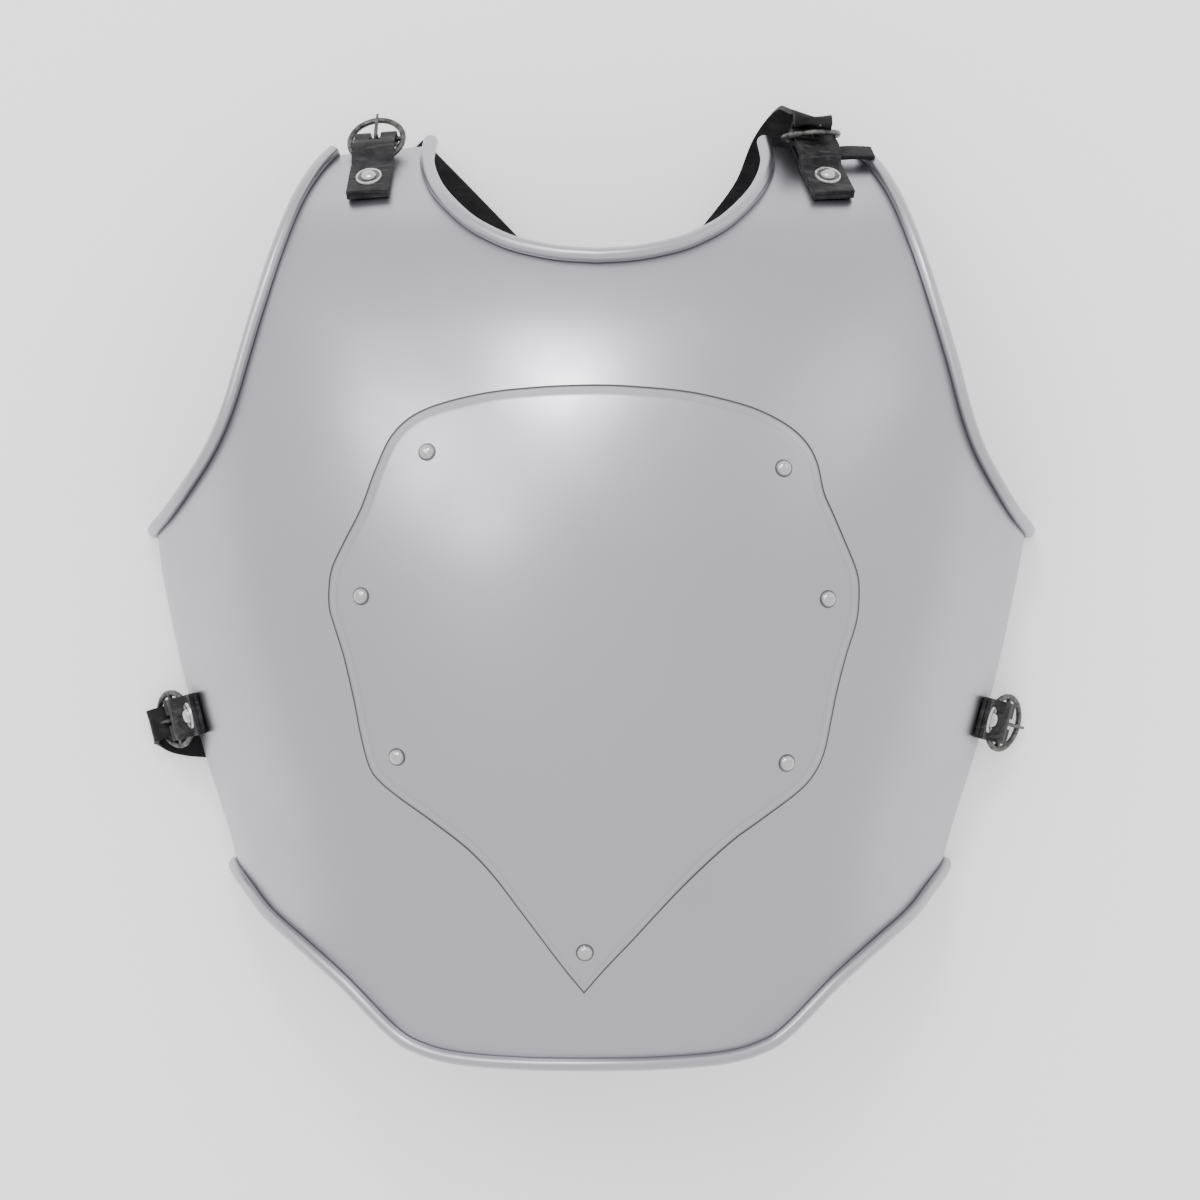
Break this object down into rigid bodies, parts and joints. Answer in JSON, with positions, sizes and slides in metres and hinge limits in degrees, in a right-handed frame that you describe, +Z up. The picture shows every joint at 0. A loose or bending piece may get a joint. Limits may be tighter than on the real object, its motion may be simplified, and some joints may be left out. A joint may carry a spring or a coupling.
{
  "type": "steel breastplate",
  "caption": "Rounded steel breastplate with rolled edges, a pointed riveted placard, ring buckles on leather chapes and crossed leather back straps.",
  "frame": {"origin": "on the surface that it lies on, under the middle of its box", "axes": "it lies on its back: +X to the right seen from the front, +Y towards the neck, +Z up out of the chest"},
  "size_m": [0.4298, 0.457, 0.152],
  "materials": {
    "plate_steel": "satin ground steel with faint streaks",
    "rivet_steel": "polished domes",
    "buckle_steel": "aged dark steel wire",
    "black_leather": "black, grained, wrinkled at the folds"
  },
  "bodies": {
    "plate": {"breast_shell": "plate_steel", "placard": "plate_steel", "placard_rivet_1": "rivet_steel", "placard_rivet_2": "rivet_steel", "placard_rivet_3": "rivet_steel", "placard_rivet_4": "rivet_steel", "placard_rivet_5": "rivet_steel", "placard_rivet_6": "rivet_steel", "placard_rivet_7": "rivet_steel", "shoulder_left_chape": "black_leather", "shoulder_left_rivet": "rivet_steel", "shoulder_left_ring": "buckle_steel", "shoulder_right_chape": "black_leather", "shoulder_right_rivet": "rivet_steel", "shoulder_right_ring": "buckle_steel", "shoulder_right_tongue": "buckle_steel", "hip_left_chape": "black_leather", "hip_left_rivet": "rivet_steel", "hip_left_ring": "buckle_steel", "hip_left_tongue": "buckle_steel", "hip_right_chape": "black_leather", "hip_right_rivet": "rivet_steel", "hip_right_ring": "buckle_steel", "back_strap_a": "black_leather", "back_strap_b": "black_leather", "strap_cross_rivet": "rivet_steel"},
    "shoulder_left_pin": {"shoulder_left_tongue": "buckle_steel"},
    "hip_right_pin": {"hip_right_tongue": "buckle_steel"}
  },
  "joints": [
    {"name": "shoulder_left_pin_turn", "type": "hinge", "parent": "plate", "child": "shoulder_left_pin", "pos_m": [-0.10243, 0.20987, 0.03572], "axis": [0.9879, 0.0637, 0.1414], "range_deg": [0, 90]},
    {"name": "hip_right_pin_turn", "type": "hinge", "parent": "plate", "child": "hip_right_pin", "pos_m": [0.19885, -0.06924, 0.01372], "axis": [-0.2586, -0.966, 0], "range_deg": [0, 80]}
  ]
}
